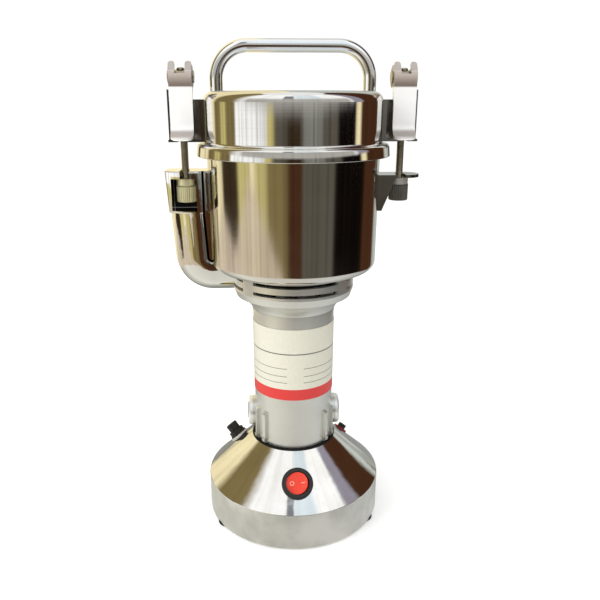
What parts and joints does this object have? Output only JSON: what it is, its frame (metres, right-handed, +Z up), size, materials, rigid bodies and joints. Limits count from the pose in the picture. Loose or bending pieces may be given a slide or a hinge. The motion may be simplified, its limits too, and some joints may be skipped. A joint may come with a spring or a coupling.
{
  "type": "electric grinder",
  "caption": "Upright electric spice and grain grinder: steel bowl with latched lid and carry handle on a motor column, cone base with rocker switch, fuse holder and reset button.",
  "frame": {"origin": "on the table under the column's axis", "axes": "+Z up along the motor shaft, -Y towards the switch, +X towards the right latch"},
  "size_m": [0.1695, 0.128, 0.3349],
  "materials": {
    "polished_steel": "polished, faint circular grain",
    "chrome": "mirror plated",
    "latch_steel": "satin pressed sheet",
    "rod_steel": "threaded bright bar",
    "zinc": "zinc plated",
    "cast_aluminium": "satin silver",
    "blade_steel": "ground",
    "black_plastic": "moulded",
    "red_plastic": "moulded",
    "rubber": "moulded",
    "silicone": "moulded",
    "pale_washer": "moulded",
    "label": "printed film, plain red stripe",
    "lamination": "stacked sheet",
    "copper": "enamelled or bare",
    "carbon": "pressed",
    "glass": "clear tube"
  },
  "bodies": {
    "root": {"base_shell": "polished_steel", "base_plate": "zinc", "base_screws": "zinc", "rubber_feet": "rubber", "motor_column": "cast_aluminium", "rib_screws": "zinc", "column_gasket": "rubber", "rating_label": "label", "brush_holders": "black_plastic", "carbon_brushes": "carbon", "brush_springs": "copper", "brush_caps": "black_plastic", "end_bell": "cast_aluminium", "bowl_screws": "zinc", "stator_core": "lamination", "field_coils": "copper", "lower_bearing_bracket": "cast_aluminium", "lower_bearing": "blade_steel", "upper_bearing": "blade_steel", "bowl": "polished_steel", "shaft_seal": "rubber", "draw_rod_left": "rod_steel", "draw_rod_right": "rod_steel", "bowl_bracket": "latch_steel", "side_arm": "chrome", "bracket_screws": "zinc", "switch_housing": "black_plastic", "fuse_washer": "pale_washer", "fuse_holder": "black_plastic", "reset_bush": "black_plastic", "reset_collar": "red_plastic", "cord_gland": "black_plastic", "panel_nuts": "zinc"},
    "rotor": {"motor_shaft": "rod_steel", "commutator": "copper", "armature_core": "lamination", "armature_winding": "copper", "cooling_fan": "cast_aluminium", "blade_spacer": "blade_steel", "grinding_blade": "blade_steel", "upper_blade": "blade_steel", "blade_nut": "blade_steel"},
    "lid": {"lid_shell": "polished_steel", "handle_washers": "zinc", "handle_screws": "zinc", "lid_gasket": "silicone", "carry_handle": "chrome", "lid_bracket_left": "latch_steel", "lid_bracket_right": "latch_steel", "trunnion_pin_left": "rod_steel", "trunnion_pin_right": "rod_steel"},
    "lever_left": {"latch_lever_left": "latch_steel"},
    "lever_right": {"latch_lever_right": "latch_steel"},
    "nut_left": {"thumb_nut_left": "zinc"},
    "nut_right": {"thumb_nut_right": "zinc"},
    "rocker": {"switch_rocker": "red_plastic"},
    "fuse_carrier": {"fuse_carrier": "black_plastic", "fuse_tube": "glass"},
    "fuse_cap": {"fuse_cap": "black_plastic"},
    "reset_button": {"reset_button": "black_plastic"}
  },
  "joints": [
    {"name": "rotor_spin", "type": "hinge", "parent": "root", "child": "rotor", "pos_m": [0, 0, 0.1], "axis": [0, 0, 1], "continuous": true},
    {"name": "lid_lift", "type": "slide", "parent": "root", "child": "lid", "axis": [0, 0, 1], "range_m": [0, 0.12]},
    {"name": "lever_left_flip", "type": "hinge", "parent": "lid", "child": "lever_left", "pos_m": [-0.0715, 0, 0.312], "axis": [-1, 0, 0], "range_deg": [0, 150]},
    {"name": "lever_right_flip", "type": "hinge", "parent": "lid", "child": "lever_right", "pos_m": [0.0715, 0, 0.312], "axis": [-1, 0, 0], "range_deg": [0, 150]},
    {"name": "nut_left_turn", "type": "hinge", "parent": "root", "child": "nut_left", "pos_m": [-0.0715, 0, 0.24], "axis": [0, 0, 1], "continuous": true},
    {"name": "nut_right_turn", "type": "hinge", "parent": "root", "child": "nut_right", "pos_m": [0.0715, 0, 0.24], "axis": [0, 0, 1], "continuous": true},
    {"name": "switch_rock", "type": "hinge", "parent": "root", "child": "rocker", "pos_m": [0, -0.04762, 0.04244], "axis": [0, 0.7333, 0.6799], "range_deg": [0, 22]},
    {"name": "fuse_pull", "type": "slide", "parent": "root", "child": "fuse_carrier", "axis": [-0.6111, 0.2981, 0.7333], "range_m": [0, 0.025]},
    {"name": "fuse_cap_turn", "type": "hinge", "parent": "fuse_carrier", "child": "fuse_cap", "pos_m": [-0.0418, 0.02039, 0.04402], "axis": [-0.6111, 0.2981, 0.7333], "range_deg": [0, 90]},
    {"name": "reset_press", "type": "slide", "parent": "root", "child": "reset_button", "axis": [-0.5828, -0.3502, -0.7333], "range_m": [0, 0.002], "stiffness_N_per_m": 400}
  ]
}
